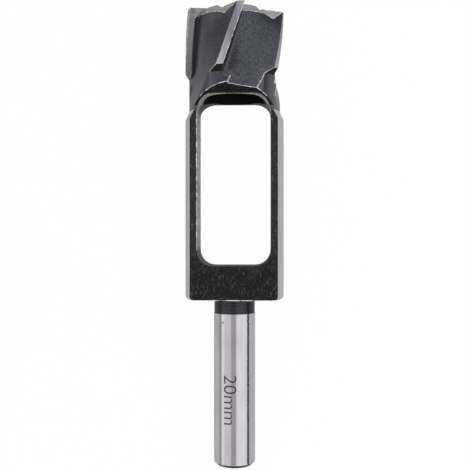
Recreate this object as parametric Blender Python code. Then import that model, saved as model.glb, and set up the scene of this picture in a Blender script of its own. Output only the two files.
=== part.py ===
# Dowel cutter: a hollow end mill that turns a round dowel out of a block of wood, machined from one bar.
# Metres, +Z up. The tool lies along +Y: the end of its shank is at the origin, its teeth point to +Y,
# and its two flats face up and down.

from math import acos, asin, atan2, cos, pi, radians, sin, sqrt, tan

import bmesh
import bpy
from mathutils import Vector

# Shank
SHANK_RADIUS = 0.0065
SHANK_LENGTH = 0.052
SHANK_CHAMFER = 0.001
BAND_LENGTH = 0.0044
BAND_DEPTH = 0.0001

# Bore, which is the dowel's size, and the wall round it
BORE_RADIUS = 0.010
WALL = 0.0055
BODY_RADIUS = BORE_RADIUS + WALL

# Body, from the shoulder to the neck
BODY_LENGTH = 0.056
BODY_CONE_LENGTH = 0.0026
BODY_ROUND = 0.0012
FLATS_APART = 0.015
FLAT_LENGTH = 0.0599
RAMP_ANGLE = radians(41.7)

# Window, cut through both flats, with a side wall of the body on each side
WINDOW_START = 0.0105
WINDOW_LENGTH = 0.0525
WINDOW_CORNER = 0.005
SIDE_WALL = 0.0041
WINDOW_WIDTH = 2 * (BODY_RADIUS - SIDE_WALL)

# Neck between the body and the wings
NECK_STEP = 0.0012
NECK_RADIUS = BODY_RADIUS - NECK_STEP
NECK_LENGTH = 0.0104

# Head
WING_COUNT = 5
WING_LENGTH = 0.0212
WING_CONE_LENGTH = 0.0019
HELIX_ANGLE = radians(19.4)
FIRST_EDGE_ANGLE = radians(14.3)
FLUTE_DEPTH = 0.00285
FLOOR_ANGLE = radians(29)
ROOT_ROUND = 0.0012
RUNOUT_START = 0.0055
RUNOUT_RADIUS = 0.070
RAKE_END = 0.0015
RAKE_FADE = 0.004
RIDGE_ANGLE = radians(11)
RIDGE_START = 0.0035
RIDGE_RADIUS = 0.012

# Ground ends of the wings: rises and falls along the tool, for each unit across it
EDGE_SLOPE = 0.09
LAND_RELIEF = 0.12
RELIEF_START = 0.00233
RELIEF_SLOPE = 2.23
RELIEF_FALL = 0.984
BEVEL_SLOPE = 1.0
DIP_DEPTH = 0.0009
DIP_ANGLE = radians(33)
DIP_REACH = radians(12)
WALL_STEP = radians(0.7)

# How finely the shapes are divided
ROUND_SEGMENTS = 72
CORNER_SEGMENTS = 6
FLUTE_RINGS = 44
LID_COLUMNS = 24
LID_STEPS = 3
LEAST_STEP = 0.0003

# How far a cutter reaches past what it cuts, and how far the shape of the teeth goes on inside the bore
PAST = 0.0015
RIM_OVERLAP = 0.00005

SHOULDER = SHANK_LENGTH
BODY_END = SHOULDER + BODY_LENGTH
NECK_START = BODY_END + BODY_CONE_LENGTH
NECK_END = NECK_START + NECK_LENGTH
WING_START = NECK_END + WING_CONE_LENGTH
TIP = NECK_END + WING_LENGTH
FLOOR_RADIUS = BODY_RADIUS - FLUTE_DEPTH
OUTSIDE = BODY_RADIUS + PAST
WING_PITCH = 2 * pi / WING_COUNT
TWIST = tan(HELIX_ANGLE) / BODY_RADIUS


def clear_scene():
    for obj in list(bpy.data.objects):
        bpy.data.objects.remove(obj)


def spread(first, last, count):
    return [first + (last - first) * step / count for step in range(count + 1)]


# A point at this distance from the tool's axis, turned from straight up towards +X
def polar(radius, angle, y):
    return Vector((radius * sin(angle), y, radius * cos(angle)))


# Azimuth of the first wing's rake face, which a right-hand helix turns towards +X on its way to the teeth
def rake_angle(y):
    return FIRST_EDGE_ANGLE + (y - TIP) * TWIST


def object_from(name, form):
    bmesh.ops.recalc_face_normals(form, faces=form.faces)
    mesh = bpy.data.meshes.new(name)
    form.to_mesh(mesh)
    form.free()
    obj = bpy.data.objects.new(name, mesh)
    bpy.context.collection.objects.link(obj)
    return obj


def as_cutter(obj):
    obj.hide_render = True
    obj.display_type = "WIRE"
    return obj


def cut(obj, cutter):
    difference = obj.modifiers.new(cutter.name, "BOOLEAN")
    difference.operation = "DIFFERENCE"
    difference.solver = "EXACT"
    difference.object = cutter


# Faces between neighbouring rows of points. A loop of rows closes on itself, and an open run gets two ends
def skin(form, rows, loop=False):
    rows = [[form.verts.new(point) for point in row] for row in rows]
    pairs = list(zip(rows, rows[1:]))
    if loop:
        pairs.append((rows[-1], rows[0]))
    else:
        form.faces.new(rows[0])
        form.faces.new(reversed(rows[-1]))
    for row, after in pairs:
        for here in range(len(row)):
            ahead = (here + 1) % len(row)
            form.faces.new((row[here], row[ahead], after[ahead], after[here]))


# The turned outline as (distance from the axis, place along it), from the shank's end to past the teeth
def blank_profile():
    turns = spread(0, pi / 2, CORNER_SEGMENTS)
    inner = BODY_RADIUS - BODY_ROUND
    band_radius = SHANK_RADIUS - BAND_DEPTH
    return [
        (0, 0),
        (SHANK_RADIUS - SHANK_CHAMFER, 0),
        (SHANK_RADIUS, SHANK_CHAMFER),
        (SHANK_RADIUS, SHOULDER - BAND_LENGTH),
        (band_radius, SHOULDER - BAND_LENGTH + BAND_DEPTH),
        (band_radius, SHOULDER),
        *[(inner + BODY_ROUND * sin(turn), SHOULDER + BODY_ROUND * (1 - cos(turn))) for turn in turns],
        (BODY_RADIUS, BODY_END),
        (NECK_RADIUS, NECK_START),
        (NECK_RADIUS, NECK_END),
        (BODY_RADIUS, WING_START),
        (BODY_RADIUS, TIP + PAST),
        (0, TIP + PAST),
    ]


def make_blank():
    form = bmesh.new()
    points = [form.verts.new(polar(radius, 0, y)) for radius, y in blank_profile()]
    edges = [form.edges.new(pair) for pair in zip(points, points[1:])]
    bmesh.ops.spin(
        form,
        geom=points + edges,
        cent=(0, 0, 0),
        axis=(0, 1, 0),
        angle=2 * pi,
        steps=ROUND_SEGMENTS,
        use_merge=True,
    )
    bmesh.ops.remove_doubles(form, verts=form.verts, dist=1e-6)
    return object_from("dowel_cutter", form)


def make_bore_cutter():
    start = SHOULDER + WINDOW_START + WINDOW_LENGTH - WINDOW_CORNER
    ends = [
        [polar(BORE_RADIUS, turn, y) for turn in spread(0, 2 * pi, ROUND_SEGMENTS)[1:]]
        for y in (start, TIP + 2 * PAST)
    ]
    form = bmesh.new()
    skin(form, ends)
    return as_cutter(object_from("bore_cutter", form))


# Everything above the upper flat and the ramp that runs out from it, seen along X
def make_flat_cutter():
    low, high = FLATS_APART / 2, OUTSIDE
    end = SHOULDER + FLAT_LENGTH
    outline = [
        (SHOULDER - PAST, low),
        (end, low),
        (end + (high - low) * tan(RAMP_ANGLE), high),
        (SHOULDER - PAST, high),
    ]
    form = bmesh.new()
    skin(form, [[Vector((x, y, z)) for y, z in outline] for x in (-OUTSIDE, OUTSIDE)])
    return as_cutter(object_from("flat_cutter", form))


# The same cutter turned half round the tool's axis
def make_lower_flat_cutter(flat):
    lower = bpy.data.objects.new("lower_flat_cutter", flat.data)
    lower.rotation_euler.y = pi
    bpy.context.collection.objects.link(lower)
    return as_cutter(lower)


def make_window_cutter():
    across = WINDOW_WIDTH / 2 - WINDOW_CORNER
    along = WINDOW_LENGTH / 2 - WINDOW_CORNER
    middle = SHOULDER + WINDOW_START + WINDOW_LENGTH / 2
    outline = []
    for quarter, (side, end) in enumerate(((1, 1), (-1, 1), (-1, -1), (1, -1))):
        for turn in spread(quarter * pi / 2, (quarter + 1) * pi / 2, CORNER_SEGMENTS):
            x = side * across + WINDOW_CORNER * cos(turn)
            outline.append((x, middle + end * along + WINDOW_CORNER * sin(turn)))
    form = bmesh.new()
    skin(form, [[Vector((x, y, z)) for x, y in outline] for z in (-OUTSIDE, OUTSIDE)])
    return as_cutter(object_from("window_cutter", form))


# How far a wheel of this radius has risen out of the flute, which it starts to do this far above the neck
def runout(y, start, radius):
    below = min(radius, max(0.0, NECK_END + start - y))
    return radius - sqrt(radius**2 - below**2)


# Distance from the axis of the floor beside the rake face, whose wheel runs out sooner and leaves a ridge
def near_floor(y):
    return min(FLOOR_RADIUS + runout(y, RIDGE_START, RIDGE_RADIUS), NECK_RADIUS + LEAST_STEP)


# 1 where the rake face is full, 0 below the wings, where the flute has a flat floor only
def rake_share(y):
    share = min(1.0, max(0.0, (y - NECK_END + RAKE_END) / RAKE_FADE))
    return share * share * (3 - 2 * share)


# The flute across the tool, as (distance from the axis, angle past the rake face): down the rake face,
# round its root, along a floor that is round at first and flat from FLOOR_ANGLE, and back outside the tool.
# Up to RIDGE_ANGLE the floor is never lower than that of the wheel that cut beside the rake face
def flute_section(y):
    floor = FLOOR_RADIUS + runout(y, RUNOUT_START, RUNOUT_RADIUS)
    root_height = sqrt((floor + ROOT_ROUND) ** 2 - ROOT_ROUND**2)
    root_angle = atan2(ROOT_ROUND, root_height)
    last_angle = FLOOR_ANGLE + acos(floor / OUTSIDE)
    section = [(OUTSIDE, 0.0)]
    for turn in spread(0, pi / 2 - root_angle, 4):
        ahead = ROOT_ROUND * (1 - cos(turn))
        height = root_height - ROOT_ROUND * sin(turn)
        section.append((sqrt(ahead**2 + height**2), atan2(ahead, height)))
    section += [(floor, angle) for angle in spread(root_angle, RIDGE_ANGLE, 2)[1:]]
    section += [(floor, angle) for angle in spread(RIDGE_ANGLE + WALL_STEP, FLOOR_ANGLE, 4)]
    section += [(floor / cos(angle - FLOOR_ANGLE), angle) for angle in spread(FLOOR_ANGLE, last_angle, 6)[1:]]
    share = rake_share(y)
    flat_share = [(1 - share) / cos(min(angle, FLOOR_ANGLE) - FLOOR_ANGLE) + share for _, angle in section]
    section = [(radius * scale, angle) for (radius, angle), scale in zip(section, flat_share)]
    least = [near_floor(y) if angle <= RIDGE_ANGLE else 0.0 for _, angle in section]
    section = [(max(radius, lowest), angle) for (radius, angle), lowest in zip(section, least)]
    section += [(OUTSIDE * 1.1, angle) for angle in spread(last_angle, 0, 4)]
    return section


def make_flute_cutter():
    rise = NECK_RADIUS - FLOOR_RADIUS
    lowest = NECK_END + RUNOUT_START - sqrt(2 * RUNOUT_RADIUS * rise - rise**2)
    form = bmesh.new()
    for wing in range(WING_COUNT):
        rings = []
        for y in spread(lowest, TIP + 2 * PAST, FLUTE_RINGS):
            start = rake_angle(y) + wing * WING_PITCH
            rings.append([polar(radius, start + angle, y) for radius, angle in flute_section(y)])
        skin(form, rings)
    return as_cutter(object_from("flute_cutter", form))


# How deep the bevel dips at the bore's rim, where the relief's wheel has run across it
def dip(behind):
    return DIP_DEPTH * (1 + cos(pi * min(1.0, abs(behind - DIP_ANGLE) / DIP_REACH))) / 2


# The bevel round the bore. Its dip is gone where the flute's floor begins
def bevel_height(radius, behind):
    out = radius - BORE_RADIUS
    return TIP - BEVEL_SLOPE * out - dip(behind) * max(0.0, 1 - out / (FLOOR_RADIUS - BORE_RADIUS))


def land_height(radius, behind):
    return TIP - EDGE_SLOPE * (radius - BORE_RADIUS) - LAND_RELIEF * radius * sin(behind)


# Height on the tool's axis of the steep relief plane, which meets the land where the wing's back begins
def relief_top():
    behind = asin(RELIEF_START / BODY_RADIUS)
    return land_height(BODY_RADIUS, behind) + BODY_RADIUS * relief_fall(behind)


def relief_fall(behind):
    return RELIEF_SLOPE * sin(behind) + RELIEF_FALL * cos(behind)


# Height of the end of a wing: its narrow land, the steep relief behind that, and the bevel round the bore
def end_height(radius, behind):
    relief = relief_top() - radius * relief_fall(behind)
    return max(min(land_height(radius, behind), relief), bevel_height(radius, behind))


# Distances from the axis at which the land and the bevel meet the relief, this far behind a cutting edge
def end_creases(behind):
    fall = relief_fall(behind)
    over_land = relief_top() - TIP - EDGE_SLOPE * BORE_RADIUS
    land_crease = over_land / (fall - EDGE_SLOPE - LAND_RELIEF * sin(behind))
    over_bevel = relief_top() - TIP - BEVEL_SLOPE * BORE_RADIUS
    bevel_crease = over_bevel / max(fall - BEVEL_SLOPE, BEVEL_SLOPE / 10)
    if bevel_crease < FLOOR_RADIUS:
        lift = dip(behind) / (FLOOR_RADIUS - BORE_RADIUS)
        bevel_crease = (over_bevel + lift * FLOOR_RADIUS) / (fall - BEVEL_SLOPE + lift)
    return sorted((land_crease, bevel_crease))


# One radial row of the lid's underside, this far behind a cutting edge. It is level inside the bore
def lid_row(wing, behind):
    inner, rim = BORE_RADIUS - PAST, BORE_RADIUS - RIM_OVERLAP
    first, second = end_creases(behind)
    first = min(max(first, rim + LEAST_STEP), OUTSIDE - 2 * LEAST_STEP)
    second = min(max(second, first + LEAST_STEP), OUTSIDE - LEAST_STEP)
    radii = [inner, rim]
    for start, end in ((rim, first), (first, second), (second, OUTSIDE)):
        radii += spread(start, end, LID_STEPS)[1:]
    row = []
    for radius in radii:
        y = end_height(max(radius, rim), behind)
        row.append(polar(radius, rake_angle(y) + WALL_STEP + wing * WING_PITCH - behind, y))
    for radius in (OUTSIDE, inner):
        row.append(polar(radius, rake_angle(TIP) + WALL_STEP + wing * WING_PITCH - behind, TIP + 2 * PAST))
    return row


# A ring above the teeth whose underside is the ground ends of all the wings
def make_lid_cutter():
    form = bmesh.new()
    rows = []
    for wing in range(WING_COUNT):
        rows += [lid_row(wing, behind) for behind in spread(WING_PITCH - WALL_STEP / 10, 0, LID_COLUMNS)]
    skin(form, rows, loop=True)
    return as_cutter(object_from("lid_cutter", form))


def steel():
    material = bpy.data.materials.new("steel")
    material.use_nodes = True
    shader = material.node_tree.nodes["Principled BSDF"]
    shader.inputs["Base Color"].default_value = (0.30, 0.30, 0.32, 1)
    shader.inputs["Metallic"].default_value = 1.0
    shader.inputs["Roughness"].default_value = 0.35
    return material


def main():
    clear_scene()
    cutter = make_blank()
    flat = make_flat_cutter()
    cut(cutter, make_flute_cutter())
    cut(cutter, make_lid_cutter())
    cut(cutter, make_bore_cutter())
    cut(cutter, flat)
    cut(cutter, make_lower_flat_cutter(flat))
    cut(cutter, make_window_cutter())
    cutter.data.materials.append(steel())
    cutter.data.shade_smooth()
    cutter.data.set_sharp_from_angle(angle=radians(30))


main()
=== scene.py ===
import math

import bmesh
import bpy
from mathutils import Matrix, Vector, noise


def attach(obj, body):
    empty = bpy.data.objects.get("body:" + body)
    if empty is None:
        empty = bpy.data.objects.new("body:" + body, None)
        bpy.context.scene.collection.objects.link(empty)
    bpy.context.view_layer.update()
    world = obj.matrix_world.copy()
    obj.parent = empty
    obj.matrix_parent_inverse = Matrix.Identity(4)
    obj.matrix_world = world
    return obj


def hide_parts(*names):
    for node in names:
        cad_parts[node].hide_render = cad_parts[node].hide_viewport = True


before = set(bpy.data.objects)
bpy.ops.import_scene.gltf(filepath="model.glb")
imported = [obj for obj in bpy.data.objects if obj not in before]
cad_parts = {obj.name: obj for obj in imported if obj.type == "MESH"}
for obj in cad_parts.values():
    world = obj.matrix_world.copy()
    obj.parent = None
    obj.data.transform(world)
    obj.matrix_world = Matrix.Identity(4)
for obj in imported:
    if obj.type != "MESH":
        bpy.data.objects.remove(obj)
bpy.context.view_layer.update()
scene = bpy.context.scene

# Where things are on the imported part
tool = {
    "shankRadius": 0.0065,
    "shankChamfer": 0.001,
    "bandStart": 0.0476,
    "shoulder": 0.052,
    "windowEnd": 0.115,
    "bodyRadius": 0.0155,
    "neckStart": 0.1106,
    "neckEnd": 0.121,
    "neckRadius": 0.0143,
    "boreRadius": 0.010,
    "rakeFoot": 0.0136,  # how far from the axis the ground part of a rake face begins
    "toothEnds": 0.134,
    "toothFronts": 0.1393,
}
nearly = 0.00006  # how close a face lies to the surface that it belongs to
roughly = 2 * nearly
broadly = 5 * nearly


# An sRGB hex colour as the linear one that a socket takes
def colour(code):
    parts = [int(code[place:place + 2], 16) / 255 for place in (1, 3, 5)]
    return [part / 12.92 if part <= 0.04045 else ((part + 0.055) / 1.055) ** 2.4 for part in parts] + [1.0]


# Adds a node with its settings, and sets its inputs or links them to a socket or to another node's first
# output. A colour mix takes its share as input 0 and its two colours as inputs 6 and 7
def addNode(tree, kind, settings=(), inputs=()):
    node = tree.nodes.new(kind)
    for name, value in dict(settings).items():
        setattr(node, name, value)
    for name, value in dict(inputs).items():
        if isinstance(value, bpy.types.Node):
            value = next(output for output in value.outputs if output.enabled)
        if isinstance(value, bpy.types.NodeSocket):
            tree.links.new(value, node.inputs[name])
        else:
            node.inputs[name].default_value = value
    return node


# A new material's tree, and the place on the object in millimetres
def startMaterial(name):
    material = bpy.data.materials.new(name)
    material.use_nodes = True
    tree = material.node_tree
    tree.nodes.clear()
    axes = addNode(tree, "ShaderNodeTexCoord")
    place = addNode(
        tree,
        "ShaderNodeMapping",
        inputs={"Vector": axes.outputs["Object"], "Scale": (1000, 1000, 1000)},
    )
    return material, tree, place


# In each look below, sizes and places on the tool are millimetres, and leans are radians. A spread is the
# part of a noise over which the shade passes into the base, or the tone below into the one on top


# Tool steel, turned and ground between centres: a bright metal that mirrors the room as bands along the
# tool, softened a little by fine lines round it. One small rust pit has been left near the shoulder
def groundShank():
    look = {
        "base": "#d9d7db",
        "shade": "#cdcbcf",
        "spread": {"From Min": 0.35, "From Max": 0.65},
        "cloud": (3.0, 14.0, 3.0),
        "lineSpacing": 0.3,  # real lines are 0.02 mm apart, drawn coarser so that they show
        "lineStretch": 0.1,  # of the noise round the tool
        "lineDetail": 4.0,
        "gloss": {"From Min": 0.3, "From Max": 0.7, "To Min": 0.13, "To Max": 0.19},  # lines to roughness
        "bump": {"Strength": 0.02, "Distance": 0.00002},
        "pit": "#2a2624",
        "pitPlace": (-3.44, 45.0, 5.51),
        "pitEdge": {"From Min": 0.36, "From Max": 0.18},
    }
    material, tree, place = startMaterial("groundShank")
    stretch = look["lineStretch"]
    rings = addNode(
        tree,
        "ShaderNodeMapping",
        inputs={"Vector": place, "Scale": (stretch, 1 / look["lineSpacing"], stretch)},
    )
    lines = addNode(
        tree,
        "ShaderNodeTexNoise",
        inputs={"Vector": rings, "Scale": 1.0, "Detail": look["lineDetail"]},
    )
    along = addNode(
        tree,
        "ShaderNodeMapping",
        inputs={"Vector": place, "Scale": [1 / size for size in look["cloud"]]},
    )
    clouds = addNode(tree, "ShaderNodeTexNoise", inputs={"Vector": along, "Scale": 1.0})
    share = addNode(tree, "ShaderNodeMapRange", inputs={"Value": clouds, **look["spread"]})
    tone = addNode(
        tree,
        "ShaderNodeMix",
        {"data_type": "RGBA"},
        {0: share, 6: colour(look["shade"]), 7: colour(look["base"])},
    )
    apart = addNode(
        tree,
        "ShaderNodeVectorMath",
        {"operation": "DISTANCE"},
        {0: place, 1: look["pitPlace"]},
    )
    pit = addNode(tree, "ShaderNodeMapRange", inputs={"Value": apart, **look["pitEdge"]})
    tone = addNode(
        tree,
        "ShaderNodeMix",
        {"data_type": "RGBA"},
        {0: pit, 6: tone, 7: colour(look["pit"])},
    )
    gloss = addNode(tree, "ShaderNodeMapRange", inputs={"Value": lines, **look["gloss"]})
    bump = addNode(tree, "ShaderNodeBump", inputs={"Height": lines, **look["bump"]})
    shader = addNode(
        tree,
        "ShaderNodeBsdfPrincipled",
        inputs={
            "Base Color": tone,
            "Metallic": 1.0,
            "Roughness": gloss,
            "Normal": bump,
        },
    )
    addNode(tree, "ShaderNodeOutputMaterial", inputs={"Surface": shader})
    return material


# The same steel on the round sides of the body, ground more coarsely: duller, with pale streaks lengthwise
def groundBody():
    look = {
        "base": "#e1e0e0",
        "shade": "#c8c7c8",
        "spread": {"From Min": 0.35, "From Max": 0.65},
        "streak": (0.5, 9.0, 0.5),
        "detail": 4.0,
        "roughness": 0.30,
    }
    material, tree, place = startMaterial("groundBody")
    along = addNode(
        tree,
        "ShaderNodeMapping",
        inputs={"Vector": place, "Scale": [1 / size for size in look["streak"]]},
    )
    streaks = addNode(
        tree,
        "ShaderNodeTexNoise",
        inputs={"Vector": along, "Scale": 1.0, "Detail": look["detail"]},
    )
    share = addNode(tree, "ShaderNodeMapRange", inputs={"Value": streaks, **look["spread"]})
    tone = addNode(
        tree,
        "ShaderNodeMix",
        {"data_type": "RGBA"},
        {0: share, 6: colour(look["shade"]), 7: colour(look["base"])},
    )
    shader = addNode(
        tree,
        "ShaderNodeBsdfPrincipled",
        inputs={
            "Base Color": tone,
            "Metallic": 1.0,
            "Roughness": look["roughness"],
        },
    )
    addNode(tree, "ShaderNodeOutputMaterial", inputs={"Surface": shader})
    return material


# The lands, where a wheel has ground through the oxide: cold grey with short lines along the cut, paler
# towards the neck
def groundLand():
    look = {
        "base": "#c2c0c7",
        "shade": "#93919a",
        "pale": "#e0dfe4",
        "spread": {"From Min": 0.3, "From Max": 0.7},
        "line": (0.3, 5.0, 0.3),  # real lines are 0.05 mm apart, drawn coarser so that they show
        "lean": -0.34,
        "detail": 4.0,
        "fade": {"From Min": 121.0, "From Max": 133.0, "To Min": 0.6, "To Max": 0.0},  # along the tool
        "roughness": 0.36,
        "bump": {"Strength": 0.12, "Distance": 0.00002},
    }
    material, tree, place = startMaterial("groundLand")
    along = addNode(
        tree,
        "ShaderNodeMapping",
        {"vector_type": "TEXTURE"},
        {"Vector": place, "Rotation": (0, 0, look["lean"]), "Scale": look["line"]},
    )
    lines = addNode(
        tree,
        "ShaderNodeTexNoise",
        inputs={"Vector": along, "Scale": 1.0, "Detail": look["detail"]},
    )
    share = addNode(tree, "ShaderNodeMapRange", inputs={"Value": lines, **look["spread"]})
    tone = addNode(
        tree,
        "ShaderNodeMix",
        {"data_type": "RGBA"},
        {0: share, 6: colour(look["shade"]), 7: colour(look["base"])},
    )
    axes = addNode(tree, "ShaderNodeSeparateXYZ", inputs={0: place})
    palerTowardsNeck = addNode(tree, "ShaderNodeMapRange", inputs={"Value": axes.outputs["Y"], **look["fade"]})
    tone = addNode(
        tree,
        "ShaderNodeMix",
        {"data_type": "RGBA"},
        {0: palerTowardsNeck, 6: tone, 7: colour(look["pale"])},
    )
    bump = addNode(tree, "ShaderNodeBump", inputs={"Height": lines, **look["bump"]})
    shader = addNode(
        tree,
        "ShaderNodeBsdfPrincipled",
        inputs={
            "Base Color": tone,
            "Metallic": 1.0,
            "Roughness": look["roughness"],
            "Normal": bump,
        },
    )
    addNode(tree, "ShaderNodeOutputMaterial", inputs={"Surface": shader})
    return material


# The rake faces, ground by the same wheel, in a darker grey
def groundRake():
    look = {
        "base": "#99989c",
        "shade": "#79787c",
        "spread": {"From Min": 0.3, "From Max": 0.7},
        "grainSize": 0.5,
        "detail": 4.0,
        "roughness": 0.4,
    }
    material, tree, place = startMaterial("groundRake")
    grain = addNode(
        tree,
        "ShaderNodeTexNoise",
        inputs={"Vector": place, "Scale": 1 / look["grainSize"], "Detail": look["detail"]},
    )
    share = addNode(tree, "ShaderNodeMapRange", inputs={"Value": grain, **look["spread"]})
    tone = addNode(
        tree,
        "ShaderNodeMix",
        {"data_type": "RGBA"},
        {0: share, 6: colour(look["shade"]), 7: colour(look["base"])},
    )
    shader = addNode(
        tree,
        "ShaderNodeBsdfPrincipled",
        inputs={
            "Base Color": tone,
            "Metallic": 1.0,
            "Roughness": look["roughness"],
        },
    )
    addNode(tree, "ShaderNodeOutputMaterial", inputs={"Surface": shader})
    return material


# The sharpened ends of the teeth: bare steel with a faint warm cast, matt from the wheel
def groundTeeth():
    look = {
        "base": "#b9b9b8",
        "shade": "#94948f",
        "spread": {"From Min": 0.3, "From Max": 0.7},
        "grainSize": 0.6,
        "detail": 4.0,
        "roughness": 0.42,
    }
    material, tree, place = startMaterial("groundTeeth")
    grain = addNode(
        tree,
        "ShaderNodeTexNoise",
        inputs={"Vector": place, "Scale": 1 / look["grainSize"], "Detail": look["detail"]},
    )
    share = addNode(tree, "ShaderNodeMapRange", inputs={"Value": grain, **look["spread"]})
    tone = addNode(
        tree,
        "ShaderNodeMix",
        {"data_type": "RGBA"},
        {0: share, 6: colour(look["shade"]), 7: colour(look["base"])},
    )
    shader = addNode(
        tree,
        "ShaderNodeBsdfPrincipled",
        inputs={
            "Base Color": tone,
            "Metallic": 1.0,
            "Roughness": look["roughness"],
        },
    )
    addNode(tree, "ShaderNodeOutputMaterial", inputs={"Surface": shader})
    return material


# The milled walls of the window, rubbed half bare by chips: a rough mid grey. Deep down by the bore, painted
# shade turns them black, and at the end towards the shank they are black too; there they hardly mirror
def milledWall():
    look = {
        "base": "#c9c8c3",
        "shade": "#8b8984",
        "black": "#161513",
        "spread": {"From Min": 0.35, "From Max": 0.65},
        "mark": (1.2, 1.2, 6.0),
        "detail": 4.0,
        "nearBore": {"From Min": 108.0, "From Max": 112.0},  # along the tool
        "depth": {"From Min": 5.5, "From Max": 0.0},  # height over the axis
        "nearShank": {"From Min": 69.5, "From Max": 67.0},  # along the tool
        "roughness": 0.42,
        "gloss": 0.2,
    }
    material, tree, place = startMaterial("milledWall")
    down = addNode(
        tree,
        "ShaderNodeMapping",
        inputs={"Vector": place, "Scale": [1 / size for size in look["mark"]]},
    )
    marks = addNode(
        tree,
        "ShaderNodeTexNoise",
        inputs={"Vector": down, "Scale": 1.0, "Detail": look["detail"]},
    )
    share = addNode(tree, "ShaderNodeMapRange", inputs={"Value": marks, **look["spread"]})
    tone = addNode(
        tree,
        "ShaderNodeMix",
        {"data_type": "RGBA"},
        {0: share, 6: colour(look["shade"]), 7: colour(look["base"])},
    )
    axes = addNode(tree, "ShaderNodeSeparateXYZ", inputs={0: place})
    # Painted shade: black deep down by the bore, from 5.5 mm over the axis down to the axis; black too at
    # the end towards the shank
    nearBore = addNode(tree, "ShaderNodeMapRange", inputs={"Value": axes.outputs["Y"], **look["nearBore"]})
    paintedDepthShade = addNode(tree, "ShaderNodeMapRange", inputs={"Value": axes.outputs["Z"], **look["depth"]})
    nearShank = addNode(
        tree,
        "ShaderNodeMapRange",
        inputs={"Value": axes.outputs["Y"], **look["nearShank"]},
    )
    share = addNode(tree, "ShaderNodeMath", {"operation": "MULTIPLY"}, {0: nearBore, 1: paintedDepthShade})
    share = addNode(tree, "ShaderNodeMath", {"operation": "MAXIMUM"}, {0: share, 1: nearShank})
    tone = addNode(
        tree,
        "ShaderNodeMix",
        {"data_type": "RGBA"},
        {0: share, 6: tone, 7: colour(look["black"])},
    )
    bare = addNode(tree, "ShaderNodeMath", {"operation": "SUBTRACT"}, {0: 1.0, 1: share})
    shader = addNode(
        tree,
        "ShaderNodeBsdfPrincipled",
        inputs={
            "Base Color": tone,
            "Metallic": bare,
            "Roughness": look["roughness"],
            "Specular IOR Level": look["gloss"],
        },
    )
    addNode(tree, "ShaderNodeOutputMaterial", inputs={"Surface": shader})
    return material


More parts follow.
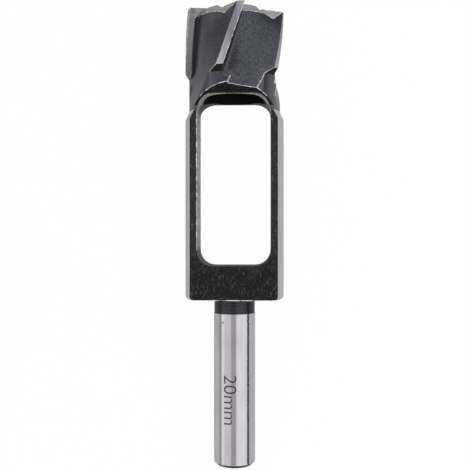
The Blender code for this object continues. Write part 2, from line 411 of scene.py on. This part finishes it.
# Black oxide on the milled flats: nearly black, with brown patches, light specks, and pale scratches that
# lean both ways. On the ramp it is darker and less shiny, which is painted shade
def blackOxide():
    look = {
        "base": "#323131",
        "shade": "#0d0d0d",
        "spread": {"From Min": 0.35, "From Max": 0.65},
        "mottle": {"Scale": 1 / 0.5, "Detail": 5.0, "Roughness": 0.7},  # 0.5 mm across
        "fade": {"From Min": 60.0, "From Max": 70.0, "To Min": 0.9, "To Max": 0.0},  # from the shoulder
        # Painted shade: darker towards the ramp
        "ramp": {"From Min": 109.0, "From Max": 113.0, "To Max": 0.8},  # towards the darker ramp
        "brown": "#2a2120",
        "patchSize": 4.0,
        "patchSpread": {"From Min": 0.53, "From Max": 0.72},
        "scratch": "#82817e",
        "scratches": {-0.65: (0.1, 7.0, 0.1), 0.2: (0.12, 1.6, 0.12)},  # lean, and breadth and length
        "scratchSpread": {"From Min": 0.74, "From Max": 0.88, "To Max": 0.8},
        "speck": "#7d7c7a",
        "speckSize": 0.33,  # real specks are 0.1 mm across, drawn larger so that they show
        "speckSpread": {"From Min": 0.65, "From Max": 0.76},
        "roughness": 0.5,
        "gloss": {"To Min": 0.22, "To Max": 0.08},  # on the flat and on the ramp
    }
    material, tree, place = startMaterial("blackOxide")
    mottle = addNode(tree, "ShaderNodeTexNoise", inputs={"Vector": place, **look["mottle"]})
    share = addNode(tree, "ShaderNodeMapRange", inputs={"Value": mottle, **look["spread"]})
    tone = addNode(
        tree,
        "ShaderNodeMix",
        {"data_type": "RGBA"},
        {0: share, 6: colour(look["shade"]), 7: colour(look["base"])},
    )
    axes = addNode(tree, "ShaderNodeSeparateXYZ", inputs={0: place})
    dark = addNode(tree, "ShaderNodeMapRange", inputs={"Value": axes.outputs["Y"], **look["fade"]})
    paintedRampShade = addNode(tree, "ShaderNodeMapRange", inputs={"Value": axes.outputs["Y"], **look["ramp"]})
    dark = addNode(tree, "ShaderNodeMath", {"operation": "MAXIMUM"}, {0: dark, 1: paintedRampShade})
    tone = addNode(
        tree,
        "ShaderNodeMix",
        {"data_type": "RGBA"},
        {0: dark, 6: tone, 7: colour(look["shade"])},
    )
    patches = addNode(tree, "ShaderNodeTexNoise", inputs={"Vector": place, "Scale": 1 / look["patchSize"]})
    share = addNode(tree, "ShaderNodeMapRange", inputs={"Value": patches, **look["patchSpread"]})
    tone = addNode(
        tree,
        "ShaderNodeMix",
        {"data_type": "RGBA"},
        {0: share, 6: tone, 7: colour(look["brown"])},
    )
    for lean, size in look["scratches"].items():
        across = addNode(
            tree,
            "ShaderNodeMapping",
            {"vector_type": "TEXTURE"},
            {"Vector": place, "Rotation": (0, 0, lean), "Scale": size},
        )
        lines = addNode(tree, "ShaderNodeTexNoise", inputs={"Vector": across, "Scale": 1.0, "Detail": 0.0})
        share = addNode(tree, "ShaderNodeMapRange", inputs={"Value": lines, **look["scratchSpread"]})
        tone = addNode(
            tree,
            "ShaderNodeMix",
            {"data_type": "RGBA"},
            {0: share, 6: tone, 7: colour(look["scratch"])},
        )
    specks = addNode(tree, "ShaderNodeTexNoise", inputs={"Vector": place, "Scale": 1 / look["speckSize"]})
    share = addNode(tree, "ShaderNodeMapRange", inputs={"Value": specks, **look["speckSpread"]})
    tone = addNode(
        tree,
        "ShaderNodeMix",
        {"data_type": "RGBA"},
        {0: share, 6: tone, 7: colour(look["speck"])},
    )
    # Painted shade on the ramp: less shine there
    gloss = addNode(
        tree,
        "ShaderNodeMapRange",
        inputs={"Value": paintedRampShade, "From Max": look["ramp"]["To Max"], **look["gloss"]},
    )
    shader = addNode(
        tree,
        "ShaderNodeBsdfPrincipled",
        inputs={
            "Base Color": tone,
            "Roughness": look["roughness"],
            "Specular IOR Level": gloss,
        },
    )
    addNode(tree, "ShaderNodeOutputMaterial", inputs={"Surface": shader})
    return material


# Black oxide over the turned band and the shank's end, which are smooth enough to mirror the room darkly
def turnedOxide():
    look = {
        "base": "#4b4a4d",
        "shade": "#343336",
        "spread": {"From Min": 0.3, "From Max": 0.7},
        "lineSpacing": 0.5,
        "lineStretch": 0.2,  # of the noise round the tool
        "detail": 4.0,
        "roughness": 0.27,
    }
    material, tree, place = startMaterial("turnedOxide")
    stretch = look["lineStretch"]
    rings = addNode(
        tree,
        "ShaderNodeMapping",
        inputs={"Vector": place, "Scale": (stretch, 1 / look["lineSpacing"], stretch)},
    )
    lines = addNode(
        tree,
        "ShaderNodeTexNoise",
        inputs={"Vector": rings, "Scale": 1.0, "Detail": look["detail"]},
    )
    share = addNode(tree, "ShaderNodeMapRange", inputs={"Value": lines, **look["spread"]})
    tone = addNode(
        tree,
        "ShaderNodeMix",
        {"data_type": "RGBA"},
        {0: share, 6: colour(look["shade"]), 7: colour(look["base"])},
    )
    shader = addNode(
        tree,
        "ShaderNodeBsdfPrincipled",
        inputs={
            "Base Color": tone,
            "Metallic": 1.0,
            "Roughness": look["roughness"],
        },
    )
    addNode(tree, "ShaderNodeOutputMaterial", inputs={"Surface": shader})
    return material


# Black oxide over a milled flute: a blue-grey metal with a fine mottle, light flecks and a satin shine,
# with painted light that makes it paler on the tool's left and on the flanks of the neck
def fluteOxide():
    look = {
        "base": "#5c5c65",
        "shade": "#404048",
        "spread": {"From Min": 0.38, "From Max": 0.62},
        "mottle": (0.6, 0.8, 0.6),
        "grain": {"Scale": 1.0, "Detail": 6.0, "Roughness": 0.75},
        "fleck": "#84848e",
        "fleckSize": 0.34,  # real flecks are 0.1 mm across, drawn larger so that they show
        "fleckSpread": {"From Min": 0.62, "From Max": 0.76},
        # Painted light: the paler tone that the tool's left and the neck's flanks pass into
        "paleAndLit": "#828285",
        "side": {"From Min": -4.0, "From Max": -10.0, "To Max": 0.4},  # across the tool
        "paintedFlankLight": {"From Min": 6.0, "From Max": 12.0, "To Max": 0.55},  # from the middle of the tool
        "neck": {"From Min": 124.0, "From Max": 119.0},  # along the tool
        "roughness": 0.30,
    }
    material, tree, place = startMaterial("fluteOxide")
    across = addNode(
        tree,
        "ShaderNodeMapping",
        inputs={"Vector": place, "Scale": [1 / size for size in look["mottle"]]},
    )
    mottle = addNode(tree, "ShaderNodeTexNoise", inputs={"Vector": across, **look["grain"]})
    share = addNode(tree, "ShaderNodeMapRange", inputs={"Value": mottle, **look["spread"]})
    tone = addNode(
        tree,
        "ShaderNodeMix",
        {"data_type": "RGBA"},
        {0: share, 6: colour(look["shade"]), 7: colour(look["base"])},
    )
    flecks = addNode(tree, "ShaderNodeTexNoise", inputs={"Vector": place, "Scale": 1 / look["fleckSize"]})
    share = addNode(tree, "ShaderNodeMapRange", inputs={"Value": flecks, **look["fleckSpread"]})
    tone = addNode(
        tree,
        "ShaderNodeMix",
        {"data_type": "RGBA"},
        {0: share, 6: tone, 7: colour(look["fleck"])},
    )
    axes = addNode(tree, "ShaderNodeSeparateXYZ", inputs={0: place})
    # Painted light: paler towards the tool's left, and on the flanks of the neck
    side = addNode(tree, "ShaderNodeMapRange", inputs={"Value": axes.outputs["X"], **look["side"]})
    aside = addNode(tree, "ShaderNodeMath", {"operation": "ABSOLUTE"}, {0: axes.outputs["X"]})
    paintedFlankLight = addNode(tree, "ShaderNodeMapRange", inputs={"Value": aside, **look["paintedFlankLight"]})
    low = addNode(tree, "ShaderNodeMapRange", inputs={"Value": axes.outputs["Y"], **look["neck"]})
    paintedFlankLight = addNode(tree, "ShaderNodeMath", {"operation": "MULTIPLY"}, {0: paintedFlankLight, 1: low})
    share = addNode(tree, "ShaderNodeMath", {"operation": "MAXIMUM"}, {0: side, 1: paintedFlankLight})
    tone = addNode(
        tree,
        "ShaderNodeMix",
        {"data_type": "RGBA"},
        {0: share, 6: tone, 7: colour(look["paleAndLit"])},
    )
    shader = addNode(
        tree,
        "ShaderNodeBsdfPrincipled",
        inputs={
            "Base Color": tone,
            "Metallic": 1.0,
            "Roughness": look["roughness"],
        },
    )
    addNode(tree, "ShaderNodeOutputMaterial", inputs={"Surface": shader})
    return material


# The same oxide at the root of a flute, darker by painted shade, most of all on the tool's left
def rootOxide():
    look = {
        "base": "#36363b",
        "shade": "#232327",
        "spread": {"From Min": 0.3, "From Max": 0.7},
        "grainSize": 0.6,
        "detail": 4.0,
        # The lighter tone outside the painted shade, towards the tool's right
        "paleAndLit": "#52525b",
        "side": {"From Min": -8.5, "From Max": -5.0},  # across the tool
        "roughness": 0.32,
    }
    material, tree, place = startMaterial("rootOxide")
    grain = addNode(
        tree,
        "ShaderNodeTexNoise",
        inputs={"Vector": place, "Scale": 1 / look["grainSize"], "Detail": look["detail"]},
    )
    share = addNode(tree, "ShaderNodeMapRange", inputs={"Value": grain, **look["spread"]})
    tone = addNode(
        tree,
        "ShaderNodeMix",
        {"data_type": "RGBA"},
        {0: share, 6: colour(look["shade"]), 7: colour(look["base"])},
    )
    axes = addNode(tree, "ShaderNodeSeparateXYZ", inputs={0: place})
    # Painted shade: the root is darker towards the tool's left
    share = addNode(tree, "ShaderNodeMapRange", inputs={"Value": axes.outputs["X"], **look["side"]})
    tone = addNode(
        tree,
        "ShaderNodeMix",
        {"data_type": "RGBA"},
        {0: share, 6: tone, 7: colour(look["paleAndLit"])},
    )
    shader = addNode(
        tree,
        "ShaderNodeBsdfPrincipled",
        inputs={
            "Base Color": tone,
            "Metallic": 1.0,
            "Roughness": look["roughness"],
        },
    )
    addNode(tree, "ShaderNodeOutputMaterial", inputs={"Surface": shader})
    return material


# Oxide in the bore and under the wings, with painted shade: black, and it hardly reflects
def deepOxide():
    look = {
        "base": "#161412",
        "shade": "#0d0c0b",
        "spread": {"From Min": 0.3, "From Max": 0.7},
        "lineSpacing": 0.4,
        "lineStretch": 0.15,  # of the noise round the tool
        "roughness": 0.6,
        "gloss": 0.2,
    }
    material, tree, place = startMaterial("deepOxide")
    stretch = look["lineStretch"]
    rings = addNode(
        tree,
        "ShaderNodeMapping",
        inputs={"Vector": place, "Scale": (stretch, 1 / look["lineSpacing"], stretch)},
    )
    lines = addNode(tree, "ShaderNodeTexNoise", inputs={"Vector": rings, "Scale": 1.0})
    share = addNode(tree, "ShaderNodeMapRange", inputs={"Value": lines, **look["spread"]})
    tone = addNode(
        tree,
        "ShaderNodeMix",
        {"data_type": "RGBA"},
        {0: share, 6: colour(look["shade"]), 7: colour(look["base"])},
    )
    shader = addNode(
        tree,
        "ShaderNodeBsdfPrincipled",
        inputs={
            "Base Color": tone,
            "Roughness": look["roughness"],
            "Specular IOR Level": look["gloss"],
        },
    )
    addNode(tree, "ShaderNodeOutputMaterial", inputs={"Surface": shader})
    return material


# Steel rubbed bare along an edge, with a painted highlight: bright and uneven, scattering more than it
# mirrors
def bareSteelAndGlint():
    look = {
        "base": "#ffffff",
        "shade": "#d8d6d4",
        "spread": {"From Min": 0.35, "From Max": 0.6},
        "grainSize": 0.6,
        "metallic": 0.3,
        "roughness": 0.65,
    }
    material, tree, place = startMaterial("bareSteelAndGlint")
    grain = addNode(tree, "ShaderNodeTexNoise", inputs={"Vector": place, "Scale": 1 / look["grainSize"]})
    share = addNode(tree, "ShaderNodeMapRange", inputs={"Value": grain, **look["spread"]})
    tone = addNode(
        tree,
        "ShaderNodeMix",
        {"data_type": "RGBA"},
        {0: share, 6: colour(look["shade"]), 7: colour(look["base"])},
    )
    shader = addNode(
        tree,
        "ShaderNodeBsdfPrincipled",
        inputs={
            "Base Color": tone,
            "Metallic": look["metallic"],
            "Roughness": look["roughness"],
        },
    )
    addNode(tree, "ShaderNodeOutputMaterial", inputs={"Surface": shader})
    return material


# Laser mark on the shank: burnt steel, dull and dark
def laserMark():
    look = {
        "base": "#48474a",
        "shade": "#343336",
        "spread": {"From Min": 0.3, "From Max": 0.7},
        "grainSize": 0.3,
        "roughness": 0.7,
        "gloss": 0.2,
    }
    material, tree, place = startMaterial("laserMark")
    grain = addNode(tree, "ShaderNodeTexNoise", inputs={"Vector": place, "Scale": 1 / look["grainSize"]})
    share = addNode(tree, "ShaderNodeMapRange", inputs={"Value": grain, **look["spread"]})
    tone = addNode(
        tree,
        "ShaderNodeMix",
        {"data_type": "RGBA"},
        {0: share, 6: colour(look["shade"]), 7: colour(look["base"])},
    )
    shader = addNode(
        tree,
        "ShaderNodeBsdfPrincipled",
        inputs={
            "Base Color": tone,
            "Roughness": look["roughness"],
            "Specular IOR Level": look["gloss"],
        },
    )
    addNode(tree, "ShaderNodeOutputMaterial", inputs={"Surface": shader})
    return material


finishes = {
    "groundShank": groundShank(),
    "groundBody": groundBody(),
    "groundLand": groundLand(),
    "groundRake": groundRake(),
    "groundTeeth": groundTeeth(),
    "milledWall": milledWall(),
    "blackOxide": blackOxide(),
    "turnedOxide": turnedOxide(),
    "fluteOxide": fluteOxide(),
    "rootOxide": rootOxide(),
    "deepOxide": deepOxide(),
}
print("materials made")

# How much of a face's normal has to point one way, for the face to count as facing that way
facing = {"flatly": 0.98, "squarely": 0.9, "mostly": 0.5, "roundly": 0.4, "partly": 0.3, "hardly": 0.1}


# The finish of a face, from its place and the way it faces
def finishOf(centre, normal):
    radius = math.hypot(centre.x, centre.z)
    outwards = (centre.x * normal.x + centre.z * normal.z) / max(radius, nearly)
    onwards = (centre.z * normal.x - centre.x * normal.z) / max(radius, nearly)  # towards the next wing
    if centre.y < tool["bandStart"] - nearly:
        return "groundShank" if centre.y > tool["shankChamfer"] else "turnedOxide"
    if centre.y < tool["shoulder"] - nearly:
        return "turnedOxide"
    inwards = outwards < -facing["mostly"] and abs(normal.y) < facing["hardly"]
    # Faces in the bore take the oxide with painted shade
    if inwards and radius < tool["boreRadius"] + broadly:
        return "deepOxide"
    upright = abs(normal.z) < facing["hardly"] and outwards < facing["partly"]
    if upright and centre.y < tool["windowEnd"] + nearly:
        return "milledWall" if centre.y > tool["shoulder"] + broadly else "blackOxide"
    if centre.y < tool["neckStart"]:
        rounded = outwards > facing["roundly"] and abs(normal.z) < facing["flatly"]
        return "groundBody" if rounded and radius > tool["neckRadius"] else "blackOxide"
    # Downward faces under the wings take the oxide with painted shade
    if normal.y < -facing["mostly"]:
        return "deepOxide" if centre.y > tool["neckEnd"] - nearly else "blackOxide"
    if centre.y > tool["toothEnds"] and normal.y > facing["partly"]:
        return "groundTeeth"
    if centre.y > tool["toothFronts"] and onwards > facing["mostly"] and radius < tool["rakeFoot"]:
        return "groundTeeth"
    if radius > tool["bodyRadius"] - roughly and outwards > facing["squarely"]:
        return "groundLand"
    if centre.y > tool["neckEnd"] and radius > tool["rakeFoot"] and onwards > facing["squarely"]:
        return "groundRake"
    # Flute roots take the oxide with painted shade
    if centre.y > tool["neckEnd"] and radius < tool["rakeFoot"] and onwards > facing["partly"]:
        return "rootOxide"
    return "fluteOxide"


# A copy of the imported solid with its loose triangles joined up, one finish to each region
def makeCutterBody():
    body = {"merge": 0.000001, "smooth": math.radians(30)}
    bpy.ops.object.select_all(action="DESELECT")
    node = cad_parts["dowel_cutter"]
    piece = bpy.data.objects.new("cutterBody", node.data.copy())
    scene.collection.objects.link(piece)
    piece.data.materials.clear()
    for material in finishes.values():
        piece.data.materials.append(material)
    piece.select_set(True)
    bpy.context.view_layer.objects.active = piece
    bpy.ops.object.mode_set(mode="EDIT")
    bpy.ops.mesh.select_all(action="SELECT")
    bpy.ops.mesh.remove_doubles(threshold=body["merge"])
    bpy.ops.mesh.customdata_custom_splitnormals_clear()
    bpy.ops.object.mode_set(mode="OBJECT")
    names = list(finishes)
    for polygon in piece.data.polygons:
        polygon.material_index = names.index(finishOf(polygon.center, polygon.normal))
    bpy.ops.object.shade_smooth_by_angle(angle=body["smooth"])
    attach(piece, "root")
    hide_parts("dowel_cutter")
    return piece


cutterBody = makeCutterBody()
print("cutter body made,", len(cutterBody.data.polygons), "faces")

# The beads of bare steel, with a painted highlight. Shares are of their radius, places are along the tool
bead = {
    "radius": 0.00015,
    "least": 0.1,
    "leastOnNeck": 0.38,
    "onWings": 0.65,
    "middle": 0.45,
    "swing": 1.2,
    "patch": 0.9,  # millimetres from a thick stretch to a thin one
    "step": 0.0005,
    "shortest": 0.002,
    "neck": (0.1162, 0.1225),
    "aside": -0.003,  # the burrs on the neck lie to the right of this
    "archStart": 0.1138,
    "rim": (0.07, 0.106),  # where the window's left rim is rubbed
    "sharp": {  # degrees from which an edge counts
        ("blackOxide", "milledWall"): 28,
        ("blackOxide", "fluteOxide"): 28,
        ("deepOxide", "fluteOxide"): 28,
        ("blackOxide", "blackOxide"): 60,
        ("groundLand", "groundRake"): 28,
        ("fluteOxide", "fluteOxide"): 20,
        ("fluteOxide", "groundTeeth"): 28,
    },
}


# Whether a sharp edge between two finishes is rubbed and gets a painted highlight, from its lower and its
# upper end along the tool
def isRubbedAndGlinting(pair, lower, upper):
    middle = (lower + upper) / 2
    if pair == ("fluteOxide", "fluteOxide"):
        along = upper - lower
        leansOn = middle.z * along.x > middle.x * along.z  # towards the next wing
        return upper.y < bead["neck"][1] and leansOn and middle.x > bead["aside"]
    if pair == ("deepOxide", "fluteOxide"):
        return max(math.hypot(end.x, end.z) for end in (lower, upper)) > tool["neckRadius"] + roughly
    if pair == ("blackOxide", "blackOxide"):
        return upper.y < tool["shoulder"] + nearly
    if pair == ("blackOxide", "milledWall"):
        return bead["rim"][0] < middle.y < bead["rim"][1] and middle.x < 0
    if pair == ("blackOxide", "fluteOxide"):
        return lower.y > bead["archStart"]
    return True


# The chains of edges that are long enough to keep
def longChains(mesh, keys):
    kept = set()
    left = set(keys)
    while left:
        grown = {left.pop()}
        chain = set()
        while grown:
            chain |= grown
            ends = {vert for key in grown for vert in key}
            grown = {key for key in left if key[0] in ends or key[1] in ends}
            left -= grown
        places = [[mesh.vertices[vert].co for vert in key] for key in chain]
        length = sum((one - other).length for one, other in places)
        if length > bead["shortest"]:
            kept |= chain
    return kept


# The edges of the body that are rubbed bare and get a painted highlight
def rubbedAndGlintingEdges(mesh):
    names = list(finishes)
    sides = {}
    for polygon in mesh.polygons:
        for key in polygon.edge_keys:
            sides.setdefault(key, []).append(polygon)
    found = {pair: set() for pair in bead["sharp"]}
    for key, (one, other) in sides.items():
        pair = tuple(sorted((names[one.material_index], names[other.material_index])))
        if pair in found and one.normal.angle(other.normal, 0) > math.radians(bead["sharp"][pair]):
            lower, upper = sorted((mesh.vertices[vert].co for vert in key), key=lambda place: place.y)
            if isRubbedAndGlinting(pair, lower, upper):
                found[pair].add(key)
    return set().union(*(longChains(mesh, keys) for keys in found.values()))


# Burrs and rubbed edges with a painted highlight: a thin uneven bead of bright bare steel along the sharp
# edges between two finishes
def makeBareEdgesAndGlints():
    mesh = cutterBody.data
    paleAndLit = rubbedAndGlintingEdges(mesh)
    bpy.ops.object.select_all(action="DESELECT")
    cutterBody.select_set(True)
    bpy.context.view_layer.objects.active = cutterBody
    bpy.ops.object.mode_set(mode="EDIT")
    bpy.ops.mesh.select_mode(type="EDGE")
    bpy.ops.mesh.select_all(action="DESELECT")
    bpy.ops.object.mode_set(mode="OBJECT")
    for edge in mesh.edges:
        edge.select = edge.key in paleAndLit
    bpy.ops.object.mode_set(mode="EDIT")
    bpy.ops.mesh.duplicate()
    bpy.ops.mesh.separate(type="SELECTED")
    bpy.ops.object.mode_set(mode="OBJECT")
    cutterBody.select_set(False)
    piece = bpy.context.selected_objects[0]
    piece.name = "bareEdgesAndGlints"
    bpy.context.view_layer.objects.active = piece
    lines = piece.data
    longest = math.inf
    while longest > bead["step"]:
        places = [vert.co.copy() for vert in lines.vertices]
        lengths = [(places[one] - places[other]).length for one, other in lines.edge_keys]
        longest = max(lengths)
        for edge, length in zip(lines.edges, lengths):
            edge.select = length > bead["step"]
        bpy.ops.object.mode_set(mode="EDIT")
        bpy.ops.mesh.subdivide(number_cuts=1)
        bpy.ops.object.mode_set(mode="OBJECT")
    bpy.ops.object.convert(target="CURVE")
    piece = bpy.context.object
    piece.data.bevel_depth = bead["radius"]
    piece.data.bevel_resolution = 1
    piece.data.use_fill_caps = True
    low, high = bead["neck"]
    for spline in piece.data.splines:
        for point in spline.points:
            thickness = bead["middle"] + bead["swing"] * noise.noise(point.co.xyz * (1000 / bead["patch"]))
            least = bead["leastOnNeck"] if low < point.co.y < high else bead["least"]
            share = bead["onWings"] if point.co.y > high else 1.0
            point.radius = share * max(least, min(1.0, thickness))
    bpy.ops.object.convert(target="MESH")
    piece = bpy.context.object
    piece.data.materials.clear()
    piece.data.materials.append(bareSteelAndGlint())
    bpy.ops.object.shade_smooth()
    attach(piece, "root")
    return piece


bareEdgesAndGlints = makeBareEdgesAndGlints()
print("bare edges made,", len(bareEdgesAndGlints.data.polygons), "faces")


# The size mark: the bore in millimetres, read from the shoulder down to the end of the shank
def makeSizeMark():
    mark = {
        "text": "20mm",
        "size": 0.0052,
        "depth": 0.00002,
        "boldness": -0.00005,
        "start": 0.02885,  # along the tool, at the top of the first figure
        "baseline": math.radians(-28.2),  # round the shank from straight up
        "length": 0.0152,
        "height": 0.00403,
        "slice": 0.0002,  # between the cuts that let it bend round the shank
        "merge": 0.0000001,
    }
    bpy.ops.object.select_all(action="DESELECT")
    bpy.ops.object.text_add()
    piece = bpy.context.object
    piece.name = "sizeMark"
    piece.data.body = mark["text"]
    piece.data.size = mark["size"]
    piece.data.extrude = mark["depth"]
    piece.data.offset = mark["boldness"]
    bpy.ops.object.convert(target="MESH")
    piece = bpy.context.object
    mesh = piece.data
    low = Vector([min(vert.co[axis] for vert in mesh.vertices) for axis in range(3)])
    high = Vector([max(vert.co[axis] for vert in mesh.vertices) for axis in range(3)])
    form = bmesh.new()
    form.from_mesh(mesh)
    bmesh.ops.remove_doubles(form, verts=form.verts, dist=mark["merge"])
    step = low.y
    while step < high.y:
        geometry = form.verts[:] + form.edges[:] + form.faces[:]
        bmesh.ops.bisect_plane(form, geom=geometry, plane_co=(0, step, 0), plane_no=(0, 1, 0))
        step += mark["slice"]
    for vert in form.verts:
        along = (vert.co.x - low.x) / (high.x - low.x) * mark["length"]
        up = (vert.co.y - low.y) / (high.y - low.y) * mark["height"]
        angle = mark["baseline"] + up / tool["shankRadius"]
        radius = tool["shankRadius"] + vert.co.z
        vert.co = Vector((radius * math.sin(angle), mark["start"] - along, radius * math.cos(angle)))
    bmesh.ops.recalc_face_normals(form, faces=form.faces)
    form.to_mesh(mesh)
    form.free()
    mesh.materials.clear()
    mesh.materials.append(laserMark())
    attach(piece, "root")
    return piece


sizeMark = makeSizeMark()
print("size mark made,", len(sizeMark.data.polygons), "faces")


# The camera looks down on the upper flat from a little to the right, as the photograph was taken
def makeCamera():
    view = {
        "lens": 57.45,
        "sensor": 36,
        "distance": 0.2372,
        "along": 0.0721,
        "turn": math.radians(2.24),
        "aside": -0.000127,
    }
    back = Vector((math.sin(view["turn"]), 0, math.cos(view["turn"])))
    up = Vector((0, 1, 0))
    right = up.cross(back)
    camera = bpy.data.objects.new("camera", bpy.data.cameras.new("camera"))
    scene.collection.objects.link(camera)
    camera.data.lens = view["lens"]
    camera.data.sensor_width = view["sensor"]
    placed = Matrix((right, up, back)).transposed().to_4x4()
    placed.translation = back * view["distance"] + up * view["along"] - right * view["aside"]
    camera.matrix_world = placed
    scene.camera = camera


makeCamera()
print("camera placed")


# The floor under the tool, which lies on its head and the end of its shank. The camera sees it nearly white,
# with the tool's shadow, and the metal mirrors it dimmer than the tent
def makeFloor():
    floor = {"size": 6.0, "white": "#ffffff", "seen": 0.97, "mirrored": 0.7, "dim": 0.46}
    heel = Vector((0, tool["shankChamfer"], -tool["shankRadius"]))
    rests = min(
        (vert.co for vert in cutterBody.data.vertices if vert.co.y > tool["neckStart"]),
        key=lambda point: (point.z - heel.z) / (point.y - heel.y),
    )
    tilt = math.atan2(rests.z - heel.z, rests.y - heel.y)
    bpy.ops.mesh.primitive_plane_add(size=floor["size"], location=heel, rotation=(tilt, 0, 0))
    plane = bpy.context.object
    plane.name = "floor"
    material = bpy.data.materials.new("paleFloor")
    material.use_nodes = True
    tree = material.node_tree
    tree.nodes.clear()
    matt = addNode(tree, "ShaderNodeBsdfDiffuse", inputs={"Color": colour(floor["white"])})
    path = addNode(tree, "ShaderNodeLightPath").outputs
    strength = addNode(
        tree,
        "ShaderNodeMapRange",
        inputs={"Value": path["Is Camera Ray"], "To Min": floor["dim"], "To Max": 1.0},
    )
    glow = addNode(tree, "ShaderNodeEmission", inputs={"Color": (1, 1, 1, 1), "Strength": strength})
    factors = {0: path["Is Camera Ray"], 1: floor["seen"]}
    seen = addNode(tree, "ShaderNodeMath", {"operation": "MULTIPLY"}, factors)
    rays = {0: path["Is Glossy Ray"], 1: path["Is Transmission Ray"]}
    mirrored = addNode(tree, "ShaderNodeMath", {"operation": "MAXIMUM"}, rays)
    factors = {0: mirrored, 1: floor["mirrored"]}
    mirrored = addNode(tree, "ShaderNodeMath", {"operation": "MULTIPLY"}, factors)
    share = addNode(tree, "ShaderNodeMath", {"operation": "MAXIMUM"}, {0: seen, 1: mirrored})
    mix = addNode(tree, "ShaderNodeMixShader", inputs={0: share, 1: matt, 2: glow})
    addNode(tree, "ShaderNodeOutputMaterial", inputs={"Surface": mix})
    plane.data.materials.append(material)
    print("floor placed, tilted", round(math.degrees(tilt), 2), "degrees")


makeFloor()


# A white tent: bright all round for what the metal mirrors, softer as light on the tool, with one long lamp
def makeLight():
    light = {
        "seen": 1.0,
        "shed": 0.62,
        "key": 4.0,
        "keySize": (0.4, 1.6),
        "keyPlace": Vector((0.45, 0.07, 0.55)),
    }
    world = bpy.data.worlds.new("tent")
    scene.world = world
    world.use_nodes = True
    tree = world.node_tree
    tree.nodes.clear()
    path = addNode(tree, "ShaderNodeLightPath").outputs
    rays = {0: path["Is Camera Ray"], 1: path["Is Glossy Ray"]}
    seen = addNode(tree, "ShaderNodeMath", {"operation": "MAXIMUM"}, rays)
    rays = {0: seen, 1: path["Is Transmission Ray"]}
    seen = addNode(tree, "ShaderNodeMath", {"operation": "MAXIMUM"}, rays)
    strength = addNode(
        tree,
        "ShaderNodeMapRange",
        inputs={"Value": seen, "To Min": light["shed"], "To Max": light["seen"]},
    )
    sky = addNode(tree, "ShaderNodeBackground", inputs={"Color": (1, 1, 1, 1), "Strength": strength})
    addNode(tree, "ShaderNodeOutputWorld", inputs={"Surface": sky})
    lamp = bpy.data.objects.new("key", bpy.data.lights.new("key", "AREA"))
    scene.collection.objects.link(lamp)
    lamp.data.energy = light["key"]
    lamp.data.shape = "RECTANGLE"
    lamp.data.size, lamp.data.size_y = light["keySize"]
    lamp.location = light["keyPlace"]
    lamp.rotation_euler = (0, math.atan2(lamp.location.x, lamp.location.z), 0)
    lamp.visible_glossy = False


# Grey cards that the metal mirrors as bands: one overhead round the camera, one beside it high on the left,
# and one low on each side
def makeCards():
    cards = {
        "overhead": {"place": (-0.028, 0.07, 0.45), "size": (0.236, 1.8), "turn": 0.0, "tone": "#b3b0b7"},
        "upperLeft": {"place": (-0.45, 0.07, 0.5), "size": (0.6, 2.0), "turn": 0.0, "tone": "#e2e0e4"},
        "right": {"place": (0.7, 0.07, 0.085), "size": (0.18, 2.6), "turn": math.pi / 2, "tone": "#202020"},
        "left": {"place": (-0.7, 0.07, 0.09), "size": (0.19, 2.6), "turn": math.pi / 2, "tone": "#a2a29e"},
    }
    for name, card in cards.items():
        bpy.ops.mesh.primitive_plane_add(size=1, location=card["place"], rotation=(0, card["turn"], 0))
        plane = bpy.context.object
        plane.name = name + "Card"
        plane.scale = (*card["size"], 1)
        material = bpy.data.materials.new(name + "Card")
        material.use_nodes = True
        tree = material.node_tree
        tree.nodes.clear()
        glow = addNode(tree, "ShaderNodeEmission", inputs={"Color": colour(card["tone"]), "Strength": 1.0})
        addNode(tree, "ShaderNodeOutputMaterial", inputs={"Surface": glow})
        plane.data.materials.append(material)
        plane.visible_camera = False
        plane.visible_diffuse = False
        plane.visible_shadow = False


makeLight()
makeCards()
print("tent, lamp and cards placed")
scene.view_settings.view_transform = "Standard"
